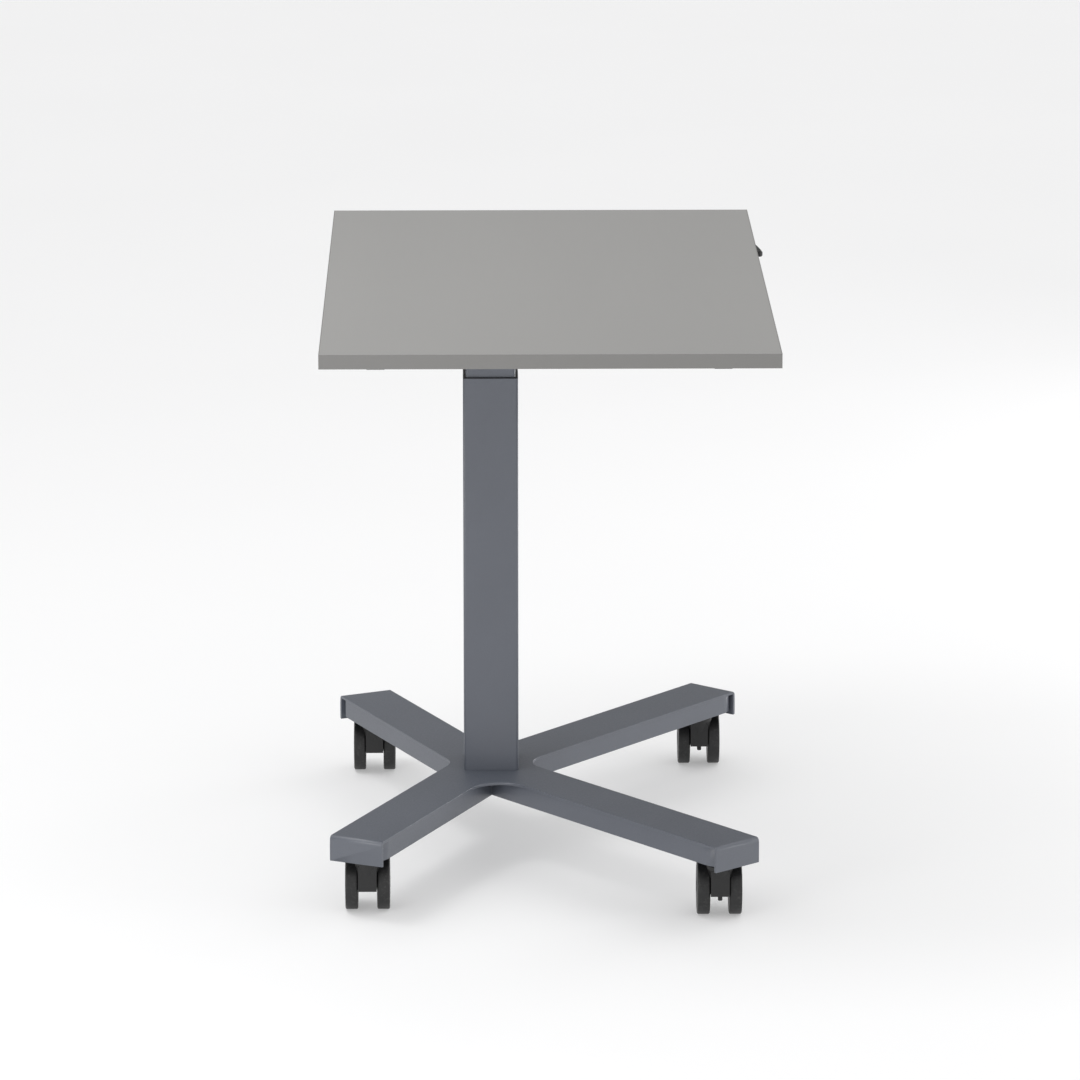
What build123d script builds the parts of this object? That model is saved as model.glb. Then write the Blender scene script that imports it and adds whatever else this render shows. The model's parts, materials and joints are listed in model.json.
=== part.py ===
from build123d import *
import math
import os
from collections import namedtuple

# Mobile height-adjustable standing desk: worktop, gas-spring column, four-arm sheet-steel base
# and twin-wheel casters. Millimetres, +Z up. The origin is on the floor, at the middle of the
# desk's plan outline. The user stands at the +X edge, and +Y is that user's right-hand side.
# Everything is modelled at the rest height of the lift.

# Worktop
top_depth = 600
top_width = 1000
top_thickness = 19
top_height = 805
band_thickness = 1

# Release paddle, at the right-hand end of the user's edge
paddle_reach = 15
paddle_y = 377
paddle_length = 86
paddle_thickness = 8
paddle_drop = 29
lever_pin_back = 28
lever_pin_drop = 13
lever_pin_r = 2.5
housing_half = 49
housing_back = 58
housing_front = 14
housing_wall = 2.5
housing_depth = 22
housing_screw_back = 36
housing_screw_out = 9

# Column: outer tube on the base, inner tube under the worktop
column_offset = 75.7
outer_x = 76
outer_y = 83
inner_x = 68
inner_y = 75
tube_wall = 2
tube_corner = 3
outer_top_drop = 132
collar_height = 1.1
collar_sleeve = 40
lift_down = 84
lowest_gap = 4

# Underframe
rail_spacing = 455.2
rail_width = 25
rail_height = 20
rail_length = 816
rail_wall = 1.5
beam_width = 40
beam_y = 44
head_plate_x = 100
head_plate_y = 150
head_plate_thickness = 5
head_bolt_x = 30
head_bolt_y = 54

# Gas spring
cylinder_outer_r = 14
cylinder_bore_r = 12
cylinder_bottom = 126
cylinder_top = 632
rod_r = 5
running_gap = 0.05
valve_pin_r = 2
valve_pin_rise = 3.5
piston_bottom = 224
piston_height = 16

# Base plate with four arms and bent-down ends
plate_drop = 690.2
plate_thickness = 4
arm_width = 78
hub_overlap = 10
flange_depth = 35
bend_radius = 5.5
notch_radius = 42
skirt_depth = 29
skirt_thickness = 3
skirt_inset = 1
skirt_end_radius = 34
skirt_end_back = 24
skirt_end_gap = 6
foot_thickness = 8
foot_bolt_x = 24
foot_bolt_y = 26

# Casters
swivel_inset = 34.6
wheel_r = 37.5
wheel_width = 17
wheel_gap = 26
trail = 28
boss_r = 15
stem_r = 5
neck_r = 18
body_width = 25
body_front = 13.5
body_front_floor = 34.5
body_floor = 30
body_top = 78.5
axle_r = 4
slot_half = 3.5
brake_pivot_y = -5
brake_pivot_z = 39.5
brake_pivot_r = 1.8

# Derived places
top_centre_x = -paddle_reach / 2
user_edge_x = top_centre_x + top_depth / 2
column_x = top_centre_x - column_offset
underside = top_height - top_thickness
rail_bottom = underside - rail_height
head_bottom = rail_bottom - head_plate_thickness
outer_top = top_height - outer_top_drop
plate_top = top_height - plate_drop
plate_bottom = plate_top - plate_thickness
foot_top = plate_top + foot_thickness
axle_z = wheel_r
inner_bottom = foot_top + lift_down + lowest_gap
rod_end = rail_bottom + 8

Arm = namedtuple("Arm", "name hub heading length")
ARMS = [
    Arm("front_left", -10.6, 180 + 65.14, 410),
    Arm("rear_left", -10.6, 180 - 65.14, 410),
    Arm("rear_right", -5.1, 49.9, 517),
    Arm("front_right", -5.1, -49.9, 517),
]
BRAKED = ("rear_right", "front_right")
BOTTOM = (Align.CENTER, Align.CENTER, Align.MIN)


def save(name, shape):
    """Writes one node; several solids in one node stay separate."""
    solids = shape if isinstance(shape, list) else shape.solids()
    whole = Compound(children=list(solids)) if len(solids) > 1 else solids[0]
    export_step(whole, f"parts/{name}.step")


def disc(x, y, low, high, radius):
    """Upright round bar."""
    return Pos(x, y, low) * Cylinder(radius, high - low, align=BOTTOM)


def rod_x(x0, x1, y, z, radius):
    """Round bar along X."""
    return Pos((x0 + x1) / 2, y, z) * Rot(0, 90, 0) * Cylinder(radius, x1 - x0)


def rod_y(y0, y1, x, z, radius):
    """Round bar along Y."""
    return Pos(x, (y0 + y1) / 2, z) * Rot(90, 0, 0) * Cylinder(radius, y1 - y0)


def block(x0, x1, y0, y1, z0, z1):
    centre = Pos((x0 + x1) / 2, (y0 + y1) / 2, (z0 + z1) / 2)
    return centre * Box(x1 - x0, y1 - y0, z1 - z0)


def upright_tube(size_x, size_y, low, high, corner, wall):
    """Rectangular column tube with rounded corners, centred on the column."""
    outside = RectangleRounded(size_x, size_y, corner)
    inside = RectangleRounded(size_x - 2 * wall, size_y - 2 * wall, max(corner - wall, 1))
    return Pos(column_x, 0, low) * extrude(outside - inside, high - low)


def side_profile(points, x0, x1):
    """Solid between x0 and x1 from an outline given as (y, z) points."""
    face = Plane.YZ * make_face(Polyline(*points, close=True))
    return Pos(x0, 0, 0) * extrude(face, x1 - x0)


def front_profile(points, y0, y1):
    """Solid between y0 and y1 from an outline given as (x, z) points."""
    face = Plane.XZ * make_face(Polyline(*points, close=True))
    return Pos(0, y1, 0) * extrude(face, y1 - y0)


def four_places(x, y):
    """Four places at plus and minus x, y about the column."""
    return [(column_x + sx * x, sy * y) for sx in (-1, 1) for sy in (-1, 1)]


# ---------------------------------------------------------------- worktop

def rail_places():
    half = rail_spacing / 2
    return {"rail_left": top_centre_x - half, "rail_right": top_centre_x + half}


def screw_places():
    """Wood screws along both rails."""
    return [(x, y) for x in rail_places().values() for y in (-360, -150, 150, 360)]


def rail_screws():
    """Pan-head screws up through the rails into the panel, 12 mm deep."""
    screws = []
    for x, y in screw_places():
        shank = disc(x, y, rail_bottom, underside + 12, 2.25)
        head = disc(x, y, rail_bottom - 2.8, rail_bottom, 4.6)
        recess = disc(x, y, rail_bottom - 2.8, rail_bottom - 1.2, 1.6)
        screws.append((shank + fillet(head.edges().group_by(Axis.Z)[0], 1.2) - recess).solid())
    return screws


def housing_screws():
    """Two countersunk screws that hold the lever housing's ears."""
    screws = []
    x = user_edge_x - housing_screw_back
    reach = housing_half + housing_screw_out
    for y in (paddle_y - reach, paddle_y + reach):
        shank = disc(x, y, underside - 3, underside + 11, 1.75)
        cone = Pos(x, y, underside - 2) * Cone(3.6, 1.75, 2)
        screws.append((shank + cone).solid())
    return screws


def worktop():
    half_x = top_depth / 2 - band_thickness
    half_y = top_width / 2 - band_thickness
    x0 = top_centre_x - half_x
    x1 = top_centre_x + half_x
    panel = block(x0, x1, -half_y, half_y, underside, top_height)
    for screw in rail_screws() + housing_screws():
        panel -= screw
    save("worktop_panel", panel)
    outer_x0 = x0 - band_thickness
    outer_x1 = x1 + band_thickness
    outer_half = top_width / 2
    save("edge_band_back", block(outer_x0, x0, -outer_half, outer_half, underside, top_height))
    save("edge_band_user", block(x1, outer_x1, -outer_half, outer_half, underside, top_height))
    save("edge_band_left", block(x0, x1, -outer_half, -half_y, underside, top_height))
    save("edge_band_right", block(x0, x1, half_y, outer_half, underside, top_height))


def underframe():
    caps = []
    for name, x in rail_places().items():
        section = Rectangle(rail_width, rail_height)
        section -= Rectangle(rail_width - 2 * rail_wall, rail_height - 2 * rail_wall)
        upright = Plane.XZ * section
        rail = Pos(x, rail_length / 2, underside - rail_height / 2) * extrude(upright, rail_length)
        for screw in rail_screws():
            rail -= screw
        save(name, rail)
        for side in (-1, 1):
            end = side * rail_length / 2
            low, high = sorted((end, end + side * 2))
            plate = block(x - rail_width / 2, x + rail_width / 2, low, high, rail_bottom, underside)
            plate = fillet(plate.edges().filter_by(Axis.Y), 1.5)
            low, high = sorted((end - side * 12, end))
            inner_half = rail_width / 2 - rail_wall
            plug = block(x - inner_half, x + inner_half, low, high,
                         rail_bottom + rail_wall, underside - rail_wall)
            caps.append((plate + plug).solid())
    save("rail_end_caps", caps)
    x0 = rail_places()["rail_left"] + rail_width / 2
    x1 = rail_places()["rail_right"] - rail_width / 2
    for name, y in (("cross_beam_left", -beam_y), ("cross_beam_right", beam_y)):
        half = beam_width / 2
        outside = block(x0, x1, y - half, y + half, rail_bottom, underside)
        inside = block(x0, x1, y - half + rail_wall, y + half - rail_wall,
                       rail_bottom + rail_wall, underside - rail_wall)
        beam = outside - inside
        for bolt in head_bolts():
            beam -= bolt
        save(name, beam)
    plate = block(column_x - head_plate_x / 2, column_x + head_plate_x / 2,
                  -head_plate_y / 2, head_plate_y / 2, head_bottom, rail_bottom)
    plate = fillet(plate.edges().filter_by(Axis.Z), 10)
    plate -= disc(column_x, 0, head_bottom, rail_bottom, rod_r)
    for bolt in head_bolts():
        plate -= bolt
    save("head_plate", plate)
    save("head_bolts", head_bolts())
    save("rail_screws", rail_screws())


def head_bolts():
    """M8 bolts up through the head plate, with nuts inside the beams."""
    bolts = []
    for x, y in four_places(head_bolt_x, head_bolt_y):
        shank = disc(x, y, head_bottom, rail_bottom + rail_wall + 9, 4)
        head = disc(x, y, head_bottom - 4.8, head_bottom, 6.5)
        socket = Pos(x, y, head_bottom - 4.8) * extrude(RegularPolygon(2.8, 6), 3)
        nut = Pos(x, y, rail_bottom + rail_wall) * extrude(RegularPolygon(7.5, 6), 6.5)
        bolts.append((shank + head - socket + nut).solid())
    return bolts


# ---------------------------------------------------------------- column

def column():
    save("outer_tube", upright_tube(outer_x, outer_y, plate_top, outer_top, tube_corner, tube_wall))
    save("inner_tube",
         upright_tube(inner_x, inner_y, inner_bottom, head_bottom, tube_corner, tube_wall))
    guide_collar()
    save("inner_glides", glides())
    foot = Pos(column_x, 0, plate_top) * extrude(
        RectangleRounded(outer_x - 2 * tube_wall, outer_y - 2 * tube_wall, 1), foot_thickness)
    foot -= disc(column_x, 0, plate_top, foot_top, rod_r)
    for bolt in foot_bolts():
        foot -= bolt
    save("column_foot", foot)
    save("foot_bolts", foot_bolts())


def guide_collar():
    """Black plastic guide: a thin flange on the tube's rim and a sleeve down inside the tube."""
    rim_step = 0.7
    running_room = 0.4
    rim = RectangleRounded(outer_x - 2 * rim_step, outer_y - 2 * rim_step, tube_corner)
    sleeve = RectangleRounded(outer_x - 2 * tube_wall, outer_y - 2 * tube_wall, 1)
    opening = RectangleRounded(inner_x + 2 * running_room, inner_y + 2 * running_room,
                               tube_corner + running_room)
    flange = Pos(column_x, 0, outer_top) * extrude(rim - opening, collar_height)
    lower = Pos(column_x, 0, outer_top - collar_sleeve) * extrude(sleeve - opening, collar_sleeve)
    save("guide_collar", flange + lower)


def glides():
    """Four plastic pads round the inner tube's lower end, which slide in the outer tube."""
    pad = 1.6
    half_width = 23
    low = inner_bottom + 4
    high = low + 60
    pads = []
    for side in (-1, 1):
        x0, x1 = sorted((side * inner_x / 2, side * (inner_x / 2 + pad)))
        pads.append(block(column_x + x0, column_x + x1, -half_width, half_width, low, high).solid())
        y0, y1 = sorted((side * inner_y / 2, side * (inner_y / 2 + pad)))
        pads.append(block(column_x - half_width, column_x + half_width, y0, y1, low, high).solid())
    return pads


def foot_bolts():
    """M8 bolts up through the base plate into the column's foot."""
    bolts = []
    for x, y in four_places(foot_bolt_x, foot_bolt_y):
        shank = disc(x, y, plate_bottom, foot_top, 4)
        head = disc(x, y, plate_bottom - 5, plate_bottom, 7)
        socket = Pos(x, y, plate_bottom - 5) * extrude(RegularPolygon(2.8, 6), 3.5)
        bolts.append((shank + head - socket).solid())
    return bolts


def gas_spring():
    floor_thickness = 8
    gland_length = 14
    body = disc(column_x, 0, cylinder_bottom, cylinder_top, cylinder_outer_r)
    chamber = disc(column_x, 0, cylinder_bottom + floor_thickness,
                   cylinder_top - gland_length, cylinder_bore_r)
    throat = disc(column_x, 0, cylinder_top - gland_length, cylinder_top, rod_r + running_gap)
    stud = disc(column_x, 0, plate_bottom - 12, cylinder_bottom, rod_r)
    save("gas_spring_cylinder", body - chamber - throat + stud)
    nut = Pos(column_x, 0, plate_bottom - 8) * extrude(RegularPolygon(9.8, 6), 8)
    save("gas_spring_nut", nut - disc(column_x, 0, plate_bottom - 8, plate_bottom, rod_r))
    piston_top = piston_bottom + piston_height
    piston = disc(column_x, 0, piston_bottom, piston_top, cylinder_bore_r - 0.1)
    groove = disc(column_x, 0, piston_bottom + 6, piston_bottom + 10, cylinder_bore_r)
    groove -= disc(column_x, 0, piston_bottom + 6, piston_bottom + 10, cylinder_bore_r - 1.6)
    save("gas_spring_piston", piston - groove)
    rod = disc(column_x, 0, piston_top, rod_end, rod_r)
    rod -= disc(column_x, 0, rod_end - 30, rod_end, valve_pin_r + running_gap)
    save("gas_spring_rod", rod)


def release_head():
    """Block on the rod's end that holds the rocker over the valve pin."""
    pivot_x = column_x + 12
    pivot_z = rod_end + 5
    pivot_r = 2
    slot_half_y = 4
    head = block(column_x - 22, column_x + 22, -19, 19, rail_bottom, underside - 2)
    head = fillet(head.edges().filter_by(Axis.Z), 4)
    head -= block(column_x - 20, column_x + 18, -slot_half_y, slot_half_y, rod_end, underside)
    head -= disc(column_x, 0, rail_bottom, rod_end, rod_r)
    head -= rod_y(-10, 10, pivot_x, pivot_z, pivot_r + running_gap)
    save("release_head", head)
    save("valve_pin", disc(column_x, 0, rod_end - 26, rod_end + valve_pin_rise, valve_pin_r))
    save("release_rocker", rocker(pivot_x, pivot_z, pivot_r))


def rocker(pivot_x, pivot_z, pivot_r):
    """Tapered lever with a round nose over the valve pin and a tail that rises clear of the slot."""
    half = 3
    nose_r = 1.5
    nose_z = pivot_z + 0.3
    hub = rod_y(-half, half, pivot_x, pivot_z, 4)
    arm = front_profile([
        (pivot_x, pivot_z - 0.5), (column_x - 2, nose_z), (column_x - 17, pivot_z + 4),
        (column_x - 17, pivot_z + 6.2), (column_x - 2, pivot_z + 4), (pivot_x, pivot_z + 3.9)],
        -half, half)
    nose = rod_y(-half, half, column_x, nose_z, nose_r)
    return hub + arm + nose + rod_y(-9.5, 9.5, pivot_x, pivot_z, pivot_r)


# ---------------------------------------------------------------- release paddle

def release_lever():
    pivot_x = user_edge_x - lever_pin_back
    pivot_z = underside - lever_pin_drop
    inner_y0 = paddle_y - housing_half
    inner_y1 = paddle_y + housing_half
    outer_y0 = inner_y0 - housing_wall
    outer_y1 = inner_y1 + housing_wall
    x0 = user_edge_x - housing_back
    x1 = user_edge_x - housing_front
    low = underside - housing_depth
    hollow = block(x0 + housing_wall, x1, inner_y0, inner_y1, low, underside - housing_wall)
    housing = block(x0, x1, outer_y0, outer_y1, low, underside)
    housing = fillet(housing.edges().filter_by(Axis.Z).group_by(Axis.X)[0], 6)
    ears = block(user_edge_x - 46, user_edge_x - 26, inner_y0 - 15, inner_y1 + 15,
                 underside - 3, underside)
    housing += fillet(ears.edges().filter_by(Axis.Z), 5)
    pin = rod_y(outer_y0, outer_y1, pivot_x, pivot_z, lever_pin_r)
    housing = housing - hollow - pin
    for screw in housing_screws():
        housing -= screw
    save("lever_housing", housing)
    save("lever_pin", pin)
    save("housing_screws", housing_screws())
    save("release_paddle", paddle(pivot_x, pivot_z))
    save("lever_spring", lever_spring(pivot_x, pivot_z))


def paddle(pivot_x, pivot_z):
    """Finger paddle: a blade that narrows towards the user's right, on a barrel round the pin."""
    blade_top = top_height - paddle_drop
    blade_low = blade_top - paddle_thickness
    y0 = paddle_y - paddle_length / 2
    y1 = paddle_y + paddle_length / 2
    tip_x = user_edge_x + paddle_reach
    barrel_half = 32
    barrel_r = 5.5
    nose = ThreePointArc((tip_x, y0 + 3), (tip_x - 4.6, paddle_y - 3), (tip_x - 13, y1))
    outline = nose + Polyline(nose @ 1, (pivot_x, y1), (pivot_x, y0), (tip_x - 3, y0), nose @ 0)
    blade = Pos(0, 0, blade_low) * extrude(make_face(outline), paddle_thickness)
    blade = fillet(blade.edges().filter_by(GeomType.CIRCLE), 2.5)
    barrel = rod_y(paddle_y - barrel_half, paddle_y + barrel_half, pivot_x, pivot_z, barrel_r)
    tail = block(pivot_x - 18, pivot_x, paddle_y - 6, paddle_y + 6, pivot_z - 3, pivot_z + 3)
    room = barrel_r + 0.7
    behind = block(pivot_x - room, pivot_x + room, y0 - 1, y1 + 1, blade_low - 5, blade_top + 5)
    neck = block(pivot_x, pivot_x + room + 2, paddle_y - barrel_half, paddle_y + barrel_half,
                 blade_low, blade_top)
    lever = blade - behind + neck + barrel + tail
    return lever - rod_y(y0 - 5, y1 + 5, pivot_x, pivot_z, lever_pin_r + running_gap)


def lever_spring(pivot_x, pivot_z):
    """Torsion spring round the pin, beside the paddle's barrel."""
    wire_r = 0.6
    coil_r = 4.6
    pitch = 1.7
    start_y = paddle_y + 34
    coil = Pos(pivot_x, start_y, pivot_z) * Rot(-90, 0, 0) * Helix(pitch, 5 * pitch, coil_r)
    profile = Plane(coil @ 0, z_dir=coil % 0) * Circle(wire_r)
    return sweep(profile, path=coil, is_frenet=True)


# ---------------------------------------------------------------- base

def arm_place(arm):
    return Pos(column_x + arm.hub, 0, 0) * Rot(0, 0, arm.heading)


def arm_point(arm, along):
    """Plan position on an arm's centre line."""
    angle = math.radians(arm.heading)
    x = column_x + arm.hub + along * math.cos(angle)
    return x, along * math.sin(angle)


def arm_section(arm):
    """One arm with its end bent down, in plan from the hub outwards."""
    length = arm.length
    low = plate_top - flange_depth
    outline = make_face(Polyline(
        (-hub_overlap, plate_top), (length, plate_top), (length, low),
        (length - plate_thickness, low), (length - plate_thickness, plate_bottom),
        (-hub_overlap, plate_bottom), close=True))
    bend_out = outline.vertices().sort_by_distance((length, plate_top, 0))[0]
    outline = fillet(bend_out, bend_radius)
    bend_in = outline.vertices().sort_by_distance((length - plate_thickness, plate_bottom, 0))[0]
    outline = fillet(bend_in, bend_radius - plate_thickness)
    solid = extrude(Plane.XZ * outline, arm_width / 2, both=True)
    return arm_place(arm) * solid


def arm_rectangle(arm, width, length, corner=0):
    """Plan outline of an arm, its far corners rounded where a corner radius is given."""
    shape = Pos((length - hub_overlap) / 2, 0) * Rectangle(length + hub_overlap, width)
    if corner:
        shape = fillet(shape.vertices().group_by(Axis.X)[-1], corner)
    return arm_place(arm) * shape


def join(shapes):
    whole = shapes[0]
    for shape in shapes[1:]:
        whole = whole + shape
    return whole


def base_plate():
    hub = join([arm_rectangle(arm, arm_width, 250) for arm in ARMS])
    corners = hub.vertices().sort_by_distance((column_x, 0, 0))[:4]
    hub = Pos(0, 0, plate_bottom) * extrude(fillet(corners, notch_radius), plate_thickness)
    plate = join([hub] + [arm_section(arm) for arm in ARMS])
    plate -= disc(column_x, 0, plate_bottom, plate_top, rod_r)
    for bolt in foot_bolts():
        plate -= bolt
    save("base_plate", plate)


def skirts():
    """Four V-shaped strips under the plate's edges, each along two neighbouring arms."""
    outlines = []
    for inset in (skirt_inset, skirt_inset + skirt_thickness):
        corner = skirt_end_radius + skirt_inset - inset
        width = arm_width - 2 * inset
        outlines.append(join([
            arm_rectangle(arm, width, arm.length - skirt_end_back + corner, corner)
            for arm in ARMS]))
    reach = join([arm_rectangle(arm, arm_width, arm.length - skirt_end_gap) for arm in ARMS])
    band = (outlines[0] - outlines[1]) & reach
    height = skirt_depth - plate_thickness
    ring = Pos(0, 0, plate_bottom - height) * extrude(band, height)
    sides = {"skirt_back": (-1, 0), "skirt_user": (1, 0),
             "skirt_left": (0, -1), "skirt_right": (0, 1)}
    for name, (dx, dy) in sides.items():
        side = (column_x + 150 * dx, 150 * dy, plate_bottom)
        save(name, ring.solids().sort_by_distance(side)[0])


# ---------------------------------------------------------------- casters

def caster_bosses():
    """Threaded bushes welded under the arms for the caster stems."""
    bosses = []
    for arm in ARMS:
        x, y = arm_point(arm, arm.length - swivel_inset)
        boss = disc(x, y, body_top + 4, plate_bottom, boss_r)
        boss = chamfer(boss.edges().group_by(Axis.Z)[0], 1)
        bosses.append((boss - disc(x, y, body_top + 4, plate_bottom - 3, stem_r)).solid())
    save("caster_bosses", bosses)


def stem():
    """Threaded stem with a hexagon collar, and a plain end that the body turns on."""
    threaded = disc(0, 0, body_top, plate_bottom - 3, stem_r)
    collar = Pos(0, 0, body_top + 0.3) * extrude(RegularPolygon(10, 6), 3.7)
    end = chamfer(disc(0, 0, 50, body_top, stem_r).edges().group_by(Axis.Z)[0], 1)
    return threaded + collar + end


def caster_body(braked):
    """Body between the wheels: a flat web round the axle and a flared neck round the stem."""
    half = body_width / 2
    rear_y = trail + 22
    web = side_profile([
        (-body_front, body_front_floor), (10, body_front_floor), (14, body_floor),
        (rear_y, body_floor), (rear_y, 44), (trail + 16, 60), (trail + 4, 68), (15, 70),
        (-body_front, 70)], -half, half)
    cross_edges = web.edges().filter_by(Axis.X)
    web = fillet(cross_edges.sort_by_distance((0, -body_front, body_front_floor))[0], 2)
    flare = ThreePointArc((neck_r, body_top - 6), (14.2, 60), (half, 46))
    outline = flare + Polyline(flare @ 1, (0, 46), (0, body_top), (neck_r - 2, body_top),
                               (neck_r, body_top - 2), flare @ 0)
    neck = revolve(Plane.XZ * make_face(outline), Axis.Z)
    for side in (-1, 1):
        near = wheel_gap / 2 - 0.7
        x0, x1 = sorted((side * near, side * (near + 40)))
        neck -= rod_x(x0, x1, trail, axle_z, wheel_r + 1)
    body = web + neck
    body -= disc(0, 0, 49, body_top, stem_r + running_gap)
    body -= rod_x(-half, half, trail, axle_z, axle_r)
    return body - brake_slot(rear_y) if braked else body


def brake_slot(rear_y):
    """Room in the body for the brake pedal: round its pivot, under the axle and up the back."""
    below = body_floor - 5
    under_axle = axle_z - axle_r - 0.5
    slot = block(-slot_half, slot_half, 2 - body_front, 14, below, 43)
    slot += block(-slot_half, slot_half, 13, rear_y + 1, below, under_axle)
    slot += block(-slot_half, slot_half, trail + 11.5, rear_y + 1, below, 62)
    return slot + rod_x(-6.5, 6.5, brake_pivot_y, brake_pivot_z, brake_pivot_r + running_gap)


def brake_pedal():
    """Pedal under the axle: pivot studs and a tab at the front, a toe plate behind the wheels."""
    half = slot_half - 0.5
    lever = side_profile([
        (-9.5, 28.4), (-6.5, 28.4), (-5.5, 34), (12, 28), (trail + 14, 27), (trail + 19, 34),
        (trail + 26, 45), (trail + 26, 49), (trail + 22, 49), (trail + 13, 32.5), (14, 32.5),
        (2, 42), (-8.2, 42), (-9.5, 38)], -half, half)
    tab_edges = lever.edges().filter_by(Axis.Y).group_by(Axis.Z)[0]
    lever = chamfer(tab_edges, 1.2)
    toe = side_profile([(trail + 26, 45), (trail + 46, 41), (trail + 47, 44.5), (trail + 26, 49)],
                       -10, 10)
    boss = rod_x(-half, half, brake_pivot_y, brake_pivot_z, 3.2)
    studs = rod_x(-6.2, 6.2, brake_pivot_y, brake_pivot_z, brake_pivot_r)
    return lever + toe + boss + studs


def wheel(side):
    """Hard wheel: softened tread edges, a ring groove outside and a recess for the axle's head."""
    inner = wheel_gap / 2
    outer = inner + wheel_width
    edge = 2.2
    crown = 0.4
    rim = wheel_r - edge
    bore_r = axle_r + running_gap
    tread_in = RadiusArc((inner, rim), (inner + edge, wheel_r), edge)
    tread_out = RadiusArc((outer - edge, wheel_r), (outer, rim), edge)
    face = ThreePointArc((outer, rim), (outer + 0.8 * crown, 20), (outer + crown, 9))
    outline = (tread_in + Line(tread_in @ 1, tread_out @ 0) + tread_out + face
               + Polyline(face @ 1, (outer - 3, 8), (outer - 3, bore_r), (inner, bore_r),
                          tread_in @ 0))
    solid = revolve(make_face(outline), Axis.X)
    solid -= Pos(outer + crown, 0, 0) * Rot(0, 90, 0) * Torus(28, 1.2)
    solid = Pos(0, trail, axle_z) * solid
    return solid if side > 0 else mirror(solid, Plane.YZ)


def axle():
    """Axle across the body and both wheels, with a head in each wheel's recess."""
    reach = wheel_gap / 2 + wheel_width - 2.7
    bar = rod_x(-reach, reach, trail, axle_z, axle_r)
    for side in (-1, 1):
        x0, x1 = sorted((side * reach, side * (reach + 2.5)))
        head = rod_x(x0, x1, trail, axle_z, 6.5)
        rims = head.edges().filter_by(GeomType.CIRCLE).sort_by(Axis.X)
        bar += fillet(rims[0] if side < 0 else rims[-1], 1)
    return bar


def casters():
    caster_bosses()
    for arm in ARMS:
        x, y = arm_point(arm, arm.length - swivel_inset)
        place = Pos(x, y, 0)
        braked = arm.name in BRAKED
        save(f"caster_stem_{arm.name}", place * stem())
        save(f"caster_body_{arm.name}", place * caster_body(braked))
        save(f"axle_{arm.name}", place * axle())
        save(f"wheel_{arm.name}_a", place * wheel(-1))
        save(f"wheel_{arm.name}_b", place * wheel(1))
        if braked:
            save(f"brake_pedal_{arm.name}", place * brake_pedal())
        print(arm.name, "swivel", round(x, 2), round(y, 2))


os.makedirs("parts", exist_ok=True)
worktop()
underframe()
column()
gas_spring()
release_head()
release_lever()
base_plate()
skirts()
casters()
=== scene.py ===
import json
import math

import bpy
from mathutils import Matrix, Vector

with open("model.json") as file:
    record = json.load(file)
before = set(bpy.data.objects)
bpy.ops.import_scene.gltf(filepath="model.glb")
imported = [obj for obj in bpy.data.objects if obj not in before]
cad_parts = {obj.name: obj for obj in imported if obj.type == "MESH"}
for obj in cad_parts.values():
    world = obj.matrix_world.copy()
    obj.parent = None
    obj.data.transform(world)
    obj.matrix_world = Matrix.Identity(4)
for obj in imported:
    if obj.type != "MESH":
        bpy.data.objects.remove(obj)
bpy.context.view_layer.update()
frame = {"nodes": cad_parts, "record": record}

NODES = frame["nodes"]
MM = 0.001


# ---------------------------------------------------------------- node helpers

# positions of the colour sockets on a Mix node, whose socket names repeat for each data type
MIX_COLOUR_A = 6
MIX_COLOUR_B = 7
MIX_COLOUR_OUT = 2


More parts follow.
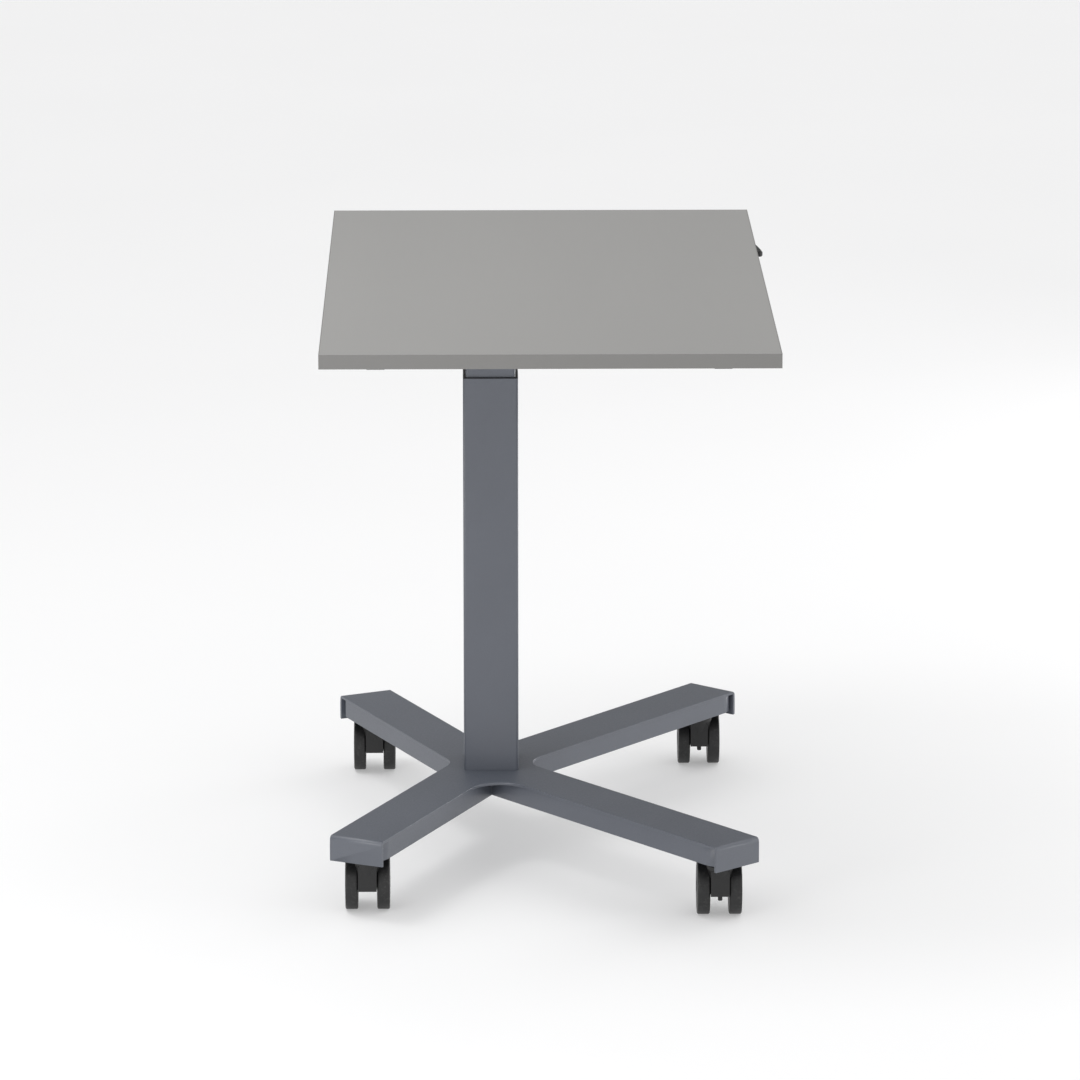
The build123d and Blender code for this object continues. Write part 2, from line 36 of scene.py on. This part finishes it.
class Shader:
    """A material under construction: short calls that add and join shader nodes."""

    def __init__(self, name):
        self.material = bpy.data.materials.new(name)
        self.material.use_nodes = True
        self.tree = self.material.node_tree
        self.bsdf = self.tree.nodes["Principled BSDF"]
        self.place = self.add("ShaderNodeTexCoord").outputs["Object"]

    def add(self, kind, **settings):
        node = self.tree.nodes.new(kind)
        for key, value in settings.items():
            setattr(node, key, value)
        return node

    def feed(self, socket, value):
        """Joins an output to a socket, or sets the socket's own value."""
        if isinstance(value, bpy.types.NodeSocket):
            self.tree.links.new(value, socket)
        else:
            socket.default_value = value

    def set(self, **values):
        """Sets sockets of the main shader by name, with _ for a space."""
        for key, value in values.items():
            self.feed(self.bsdf.inputs[key.replace("_", " ")], value)

    def stretched(self, x, y, z):
        """Object coordinates scaled along each axis, for a grain with a direction."""
        node = self.add("ShaderNodeMapping")
        self.feed(node.inputs["Vector"], self.place)
        node.inputs["Scale"].default_value = (x, y, z)
        return node.outputs["Vector"]

    def noise(self, scale, detail=2.0, rough=0.5, place=None):
        node = self.add("ShaderNodeTexNoise")
        self.feed(node.inputs["Vector"], place or self.place)
        node.inputs["Scale"].default_value = scale
        node.inputs["Detail"].default_value = detail
        node.inputs["Roughness"].default_value = rough
        return node.outputs["Fac"]

    def cells(self, scale, place=None):
        node = self.add("ShaderNodeTexVoronoi", feature="SMOOTH_F1")
        self.feed(node.inputs["Vector"], place or self.place)
        node.inputs["Scale"].default_value = scale
        return node.outputs["Distance"]

    def ranged(self, value, low, high, to_low, to_high):
        """Maps low..high to to_low..to_high, clamped."""
        node = self.add("ShaderNodeMapRange")
        self.feed(node.inputs["Value"], value)
        for key, number in (("From Min", low), ("From Max", high),
                            ("To Min", to_low), ("To Max", to_high)):
            node.inputs[key].default_value = number
        return node.outputs["Result"]

    def maths(self, operation, a, b=0.0):
        node = self.add("ShaderNodeMath", operation=operation)
        self.feed(node.inputs[0], a)
        self.feed(node.inputs[1], b)
        return node.outputs[0]

    def blend(self, factor, a, b):
        """Colour a where factor is 0, and b where it is 1."""
        node = self.add("ShaderNodeMix", data_type="RGBA")
        self.feed(node.inputs["Factor"], factor)
        self.feed(node.inputs[MIX_COLOUR_A], a)
        self.feed(node.inputs[MIX_COLOUR_B], b)
        return node.outputs[MIX_COLOUR_OUT]

    def bump(self, height, depth, strength=1.0, under=None):
        """Bump of a given depth in metres, on top of another normal if given."""
        node = self.add("ShaderNodeBump")
        self.feed(node.inputs["Height"], height)
        node.inputs["Distance"].default_value = depth
        node.inputs["Strength"].default_value = strength
        if under is not None:
            self.feed(node.inputs["Normal"], under)
        return node.outputs["Normal"]

    def edge_mask(self, radius):
        """1 near sharp edges and 0 on flats, from how far a rounded normal turns."""
        rounded = self.add("ShaderNodeBevel", samples=6)
        rounded.inputs["Radius"].default_value = radius
        flat = self.add("ShaderNodeNewGeometry")
        turn = self.add("ShaderNodeVectorMath", operation="DOT_PRODUCT")
        self.feed(turn.inputs[0], rounded.outputs["Normal"])
        self.feed(turn.inputs[1], flat.outputs["Normal"])
        return self.ranged(turn.outputs["Value"], 0.995, 0.9, 0.0, 1.0)


def tint(colour, factor):
    """A colour made lighter or darker."""
    return tuple(channel * factor for channel in colour) + (1.0,)


# ---------------------------------------------------------------- materials

def laminate(name, colour):
    """Melamine-faced board: fine pearl texture, faint clouding, roughness in wiped streaks."""
    s = Shader(name)
    cloud = s.noise(2.2, 4.0, 0.55)
    speck = s.noise(900, 2.0, 0.6)
    base = s.blend(s.ranged(cloud, 0.3, 0.7, 0.0, 1.0), tint(colour, 0.985), tint(colour, 1.015))
    base = s.blend(s.ranged(speck, 0.35, 0.65, 0.0, 1.0), base, tint(colour, 1.03))
    pearl = s.cells(620)
    fine = s.noise(2400, 1.0, 0.5)
    normal = s.bump(pearl, 0.00002, 0.35)
    normal = s.bump(fine, 0.00001, 0.25, normal)
    wiped = s.noise(9, 3.0, 0.6, s.stretched(1.0, 0.12, 1.0))
    s.set(Base_Color=base, Roughness=s.ranged(wiped, 0.3, 0.7, 0.47, 0.56), Normal=normal)
    s.bsdf.inputs["Specular IOR Level"].default_value = 0.42
    return s.material


def powder_coat(name, colour, rough=0.42):
    """Satin powder coat on steel: orange peel, tiny specks, paler and shinier along edges."""
    s = Shader(name)
    peel = s.noise(420, 2.5, 0.55)
    grain = s.noise(1900, 1.0, 0.5)
    cloud = s.noise(7, 3.0, 0.6)
    speck = s.ranged(s.noise(1300, 0.0, 0.5), 0.68, 0.76, 0.0, 1.0)
    base = s.blend(s.ranged(cloud, 0.3, 0.7, 0.0, 1.0), tint(colour, 0.95), tint(colour, 1.05))
    base = s.blend(s.maths("MULTIPLY", speck, 0.35), base, tint(colour, 1.7))
    patchy = s.ranged(s.noise(60, 3.0, 0.6), 0.35, 0.6, 0.35, 1.0)
    edge = s.maths("MULTIPLY", s.edge_mask(1.2 * MM), patchy)
    base = s.blend(s.maths("MULTIPLY", edge, 0.15), base, tint(colour, 1.8))
    shine = s.ranged(peel, 0.3, 0.7, rough - 0.04, rough + 0.05)
    shine = s.maths("SUBTRACT", shine, s.maths("MULTIPLY", edge, 0.08))
    normal = s.bump(peel, 0.00006, 0.32)
    normal = s.bump(grain, 0.00001, 0.3, normal)
    s.set(Base_Color=base, Roughness=shine, Normal=normal)
    s.bsdf.inputs["Specular IOR Level"].default_value = 0.9
    return s.material


def moulded(name, colour, rough=0.5, grain_scale=1700, depth=0.00003):
    """Moulded black plastic: spark-eroded grain, faint flow streaks, edges rubbed smooth."""
    s = Shader(name)
    grain = s.noise(grain_scale, 2.0, 0.6)
    flow = s.noise(35, 3.0, 0.55, s.stretched(1.0, 1.0, 0.25))
    base = s.blend(s.ranged(flow, 0.3, 0.7, 0.0, 1.0), tint(colour, 0.88), tint(colour, 1.12))
    edge = s.edge_mask(0.8 * MM)
    base = s.blend(s.maths("MULTIPLY", edge, 0.25), base, tint(colour, 2.2))
    shine = s.ranged(flow, 0.3, 0.7, rough - 0.05, rough + 0.06)
    shine = s.maths("SUBTRACT", shine, s.maths("MULTIPLY", edge, 0.12))
    s.set(Base_Color=base, Roughness=shine, Normal=s.bump(grain, depth, 0.45))
    return s.material


def rolling_nylon(name, colour):
    """Hard wheel nylon: fine turned rings, satin tread, a little floor dust in the grain."""
    s = Shader(name)
    rings = s.noise(900, 1.0, 0.4, s.stretched(1.0, 0.05, 0.05))
    grain = s.noise(1500, 2.0, 0.6)
    dust = s.ranged(s.noise(240, 4.0, 0.7), 0.52, 0.75, 0.0, 0.35)
    base = s.blend(dust, tint(colour, 1.0), tint((0.1, 0.098, 0.094), 1.0))
    normal = s.bump(rings, 0.00003, 0.25)
    normal = s.bump(grain, 0.00002, 0.35, normal)
    s.set(Base_Color=base, Roughness=s.ranged(grain, 0.3, 0.7, 0.42, 0.55), Normal=normal)
    return s.material


def zinc(name, colour=(0.62, 0.63, 0.66)):
    """Bright zinc plate: faint warm and cool patches, and fine brushing."""
    s = Shader(name)
    patch = s.noise(90, 3.0, 0.6)
    brush = s.noise(1400, 2.0, 0.5, s.stretched(0.15, 0.15, 1.0))
    warm = (colour[0] * 1.05, colour[1], colour[2] * 0.88)
    base = s.blend(s.ranged(patch, 0.35, 0.65, 0.0, 1.0), tint(colour, 1.0), tint(warm, 0.95))
    s.set(Base_Color=base, Roughness=s.ranged(brush, 0.3, 0.7, 0.26, 0.4),
          Normal=s.bump(brush, 0.00002, 0.3))
    s.bsdf.inputs["Metallic"].default_value = 1.0
    return s.material


def ground_rod(name):
    """Ground and polished piston rod with faint circular grinding lines and an oil film."""
    s = Shader(name)
    lines = s.noise(2600, 1.0, 0.5, s.stretched(0.02, 0.02, 1.0))
    film = s.noise(25, 3.0, 0.6)
    base = s.blend(s.ranged(film, 0.35, 0.65, 0.0, 1.0),
                   tint((0.72, 0.73, 0.75), 1.0), tint((0.66, 0.66, 0.67), 1.0))
    s.set(Base_Color=base, Roughness=s.ranged(film, 0.3, 0.7, 0.07, 0.16),
          Normal=s.bump(lines, 0.000005, 0.3))
    s.bsdf.inputs["Metallic"].default_value = 1.0
    return s.material


def gloss_black(name):
    """Gas-spring cylinder: smooth black paint with slight orange peel and handling marks."""
    s = Shader(name)
    peel = s.noise(260, 2.0, 0.5)
    marks = s.noise(40, 5.0, 0.65)
    base = s.blend(s.ranged(marks, 0.35, 0.7, 0.0, 1.0),
                   tint((0.012, 0.012, 0.013), 1.0), tint((0.02, 0.02, 0.021), 1.0))
    s.set(Base_Color=base, Roughness=s.ranged(marks, 0.35, 0.7, 0.16, 0.32),
          Normal=s.bump(peel, 0.00004, 0.3))
    return s.material


def acetal(name):
    """Natural white acetal slide pads, greased and slightly grey where they rub."""
    s = Shader(name)
    rub = s.noise(180, 3.0, 0.6, s.stretched(1.0, 1.0, 0.08))
    base = s.blend(s.ranged(rub, 0.45, 0.75, 0.0, 0.6),
                   tint((0.72, 0.71, 0.68), 1.0), tint((0.42, 0.42, 0.41), 1.0))
    s.set(Base_Color=base, Roughness=s.ranged(rub, 0.3, 0.7, 0.3, 0.45),
          Normal=s.bump(rub, 0.00003, 0.3))
    s.bsdf.inputs["Subsurface Weight"].default_value = 0.05
    return s.material


def seal_rubber(name):
    """Moulded rubber with a matt bloom."""
    s = Shader(name)
    bloom = s.noise(220, 4.0, 0.65)
    base = s.blend(s.ranged(bloom, 0.4, 0.7, 0.0, 1.0),
                   tint((0.018, 0.018, 0.018), 1.0), tint((0.04, 0.04, 0.038), 1.0))
    s.set(Base_Color=base, Roughness=s.ranged(bloom, 0.3, 0.7, 0.6, 0.8),
          Normal=s.bump(bloom, 0.00005, 0.4))
    return s.material


LAMINATE_GREY = (0.292, 0.288, 0.281)
EDGE_GREY = (0.205, 0.202, 0.196)
COAT_GREY = (0.084, 0.0935, 0.116)
BLACK = (0.0075, 0.0075, 0.0077)

MATERIALS = {
    "top_panel": laminate("grey laminate", LAMINATE_GREY),
    "edge_band": laminate("grey edging", EDGE_GREY),
    "frame_coating": powder_coat("blue-grey powder coat", COAT_GREY),
    "underframe_coating": powder_coat("blue-grey underframe coat", COAT_GREY, 0.46),
    "zinc_steel": zinc("zinc plated steel"),
    "black_plastic": moulded("black moulded plastic", BLACK),
    "guide_plastic": acetal("white acetal"),
    "gas_spring_black": gloss_black("gloss black paint"),
    "polished_rod": ground_rod("ground steel rod"),
    "seal_rubber": seal_rubber("black rubber"),
    "caster_plastic": moulded("black caster nylon", tint(BLACK, 1.25)[:3], 0.46),
    "wheel_plastic": rolling_nylon("black wheel nylon", tint(BLACK, 1.35)[:3]),
    "brake_plastic": moulded("black brake nylon", BLACK, 0.52, 1300),
}


def paint_cad_nodes():
    """Every CAD node takes the material of its slot in the record."""
    for part in frame["record"]["subparts"]:
        node = NODES[part["node"]]
        for index in range(len(node.material_slots)):
            node.material_slots[index].material = MATERIALS[part["material_slot"]]


WELD_DISTANCE = 0.01 * MM
SHARP_ANGLE = math.radians(50)
SKIRT_RADIUS = 0.5 * MM
EDGE_RADII = {
    "worktop_panel": 0.3 * MM, "base_plate": 0.6 * MM,
    "outer_tube": 0.4 * MM, "inner_tube": 0.4 * MM, "guide_collar": 0.3 * MM,
}


def soften_edges():
    """Small real edge radii on the nodes whose sharp edges catch the light."""
    radii = dict(EDGE_RADII)
    for name in NODES:
        if name.startswith("skirt"):
            radii[name] = SKIRT_RADIUS
    for name, radius in radii.items():
        node = NODES[name]
        weld = node.modifiers.new("weld", "WELD")
        weld.merge_threshold = WELD_DISTANCE
        bevel = node.modifiers.new("edge radius", "BEVEL")
        bevel.width = radius
        bevel.segments = 2
        bevel.limit_method = "ANGLE"
        bevel.angle_limit = SHARP_ANGLE
        bevel.use_clamp_overlap = False
        bevel.harden_normals = True


# ---------------------------------------------------------------- stage, light and camera

# light strengths of the world, by direction
CEILING = 1.14
WALL_FRONT = 0.5
WALL_BACK = 0.12
HORIZON = 0.88
# sines of the elevations between which each part of the world fades into the next
CEILING_FADE = (0.38, 0.62)
HORIZON_FADE = (0.08, 0.15)
FRONT_TO_BACK_FADE = (-0.1, 0.1)
FLOOR_HALF = 30.0
FLOOR_GLOW = 0.315
# name, place, target, size in metres and power in watts
SOFTBOXES = (
    ("left high", (-1.2, -0.3, 2.6), (0.0, 0.0, 0.4), (0.9, 0.9), 14.0),
    ("right low", (3.0, -1.0, 0.6), (0.0, 0.0, 0.2), (1.6, 0.8), 15.0),
    ("right back low", (2.6, 2.2, 0.45), (-0.2, -0.3, 0.1), (1.6, 0.8), 32.0),
    ("front left", (-1.6, -2.3, 0.7), (-0.3, -0.5, 0.1), (0.9, 0.7), 15.0),
)


def white_floor():
    """A pale studio floor that runs out of sight."""
    half = FLOOR_HALF
    mesh = bpy.data.meshes.new("floor")
    mesh.from_pydata([(-half, -half, 0), (half, -half, 0), (half, half, 0), (-half, half, 0)],
                     [], [(0, 1, 2, 3)])
    floor = bpy.data.objects.new("floor", mesh)
    bpy.context.scene.collection.objects.link(floor)
    s = Shader("studio floor")
    haze = s.noise(1.5, 2.0, 0.5)
    s.set(Base_Color=s.blend(haze, tint((0.6, 0.6, 0.603), 1.0), tint((0.62, 0.62, 0.623), 1.0)))
    s.bsdf.inputs["Emission Color"].default_value = (1.0, 1.0, 1.0, 1.0)
    s.bsdf.inputs["Emission Strength"].default_value = FLOOR_GLOW
    s.bsdf.inputs["Roughness"].default_value = 0.6
    s.bsdf.inputs["Specular IOR Level"].default_value = 0.2
    mesh.materials.append(s.material)


def white_studio():
    """A soft white ceiling over dimmer walls, dark at the back, and a pale band at the horizon."""
    world = bpy.data.worlds.new("studio")
    world.use_nodes = True
    bpy.context.scene.world = world
    tree = world.node_tree
    background = tree.nodes["Background"]
    background.inputs["Color"].default_value = (1.0, 1.0, 1.0, 1.0)
    split = tree.nodes.new("ShaderNodeSeparateXYZ")
    tree.links.new(tree.nodes.new("ShaderNodeTexCoord").outputs["Generated"], split.inputs[0])
    walls = world_ramp(tree, split.outputs["Y"], FRONT_TO_BACK_FADE, (WALL_FRONT, WALL_BACK))
    height = world_ramp(tree, split.outputs["Z"], CEILING_FADE, (0.0, 1.0))
    mix = tree.nodes.new("ShaderNodeMix")
    tree.links.new(height, mix.inputs["Factor"])
    tree.links.new(walls, mix.inputs["A"])
    mix.inputs["B"].default_value = CEILING
    above = world_ramp(tree, split.outputs["Z"], HORIZON_FADE, (0.0, 1.0))
    band = tree.nodes.new("ShaderNodeMix")
    tree.links.new(above, band.inputs["Factor"])
    band.inputs["A"].default_value = HORIZON
    tree.links.new(mix.outputs["Result"], band.inputs["B"])
    tree.links.new(band.outputs["Result"], background.inputs["Strength"])


def world_ramp(tree, value, span, strengths):
    """A strength that goes smoothly from one value to another over a span."""
    ramp = tree.nodes.new("ShaderNodeMapRange")
    ramp.interpolation_type = "SMOOTHSTEP"
    tree.links.new(value, ramp.inputs["Value"])
    ramp.inputs["From Min"].default_value, ramp.inputs["From Max"].default_value = span
    ramp.inputs["To Min"].default_value, ramp.inputs["To Max"].default_value = strengths
    return ramp.outputs["Result"]


def area_light(name, place, target, size, power):
    data = bpy.data.lights.new(name, "AREA")
    data.shape = "RECTANGLE"
    data.size, data.size_y = size
    data.energy = power
    light = bpy.data.objects.new(name, data)
    light.location = place
    aim = Vector(target) - Vector(place)
    light.rotation_euler = aim.to_track_quat("-Z", "Y").to_euler()
    bpy.context.scene.collection.objects.link(light)


# place in metres, angles in degrees, lens and sensor in millimetres
CAMERA_PLACE = (-0.1164, -8.0741, 2.4313)
CAMERA_TURN = 0.721
CAMERA_DIP = 13.889
CAMERA_LENS = 199.83
CAMERA_SENSOR = 36.0


def photo_camera():
    """A long lens from the desk's left short side, slightly above the worktop."""
    data = bpy.data.cameras.new("camera")
    data.sensor_width = CAMERA_SENSOR
    data.lens = CAMERA_LENS
    data.clip_end = 100.0
    camera = bpy.data.objects.new("camera", data)
    camera.location = CAMERA_PLACE
    camera.rotation_euler = (math.radians(90 - CAMERA_DIP), 0.0, -math.radians(CAMERA_TURN))
    bpy.context.scene.collection.objects.link(camera)
    bpy.context.scene.camera = camera


bpy.context.scene.view_settings.view_transform = "Standard"
paint_cad_nodes()
soften_edges()
white_floor()
white_studio()
for softbox in SOFTBOXES:
    area_light(*softbox)
photo_camera()
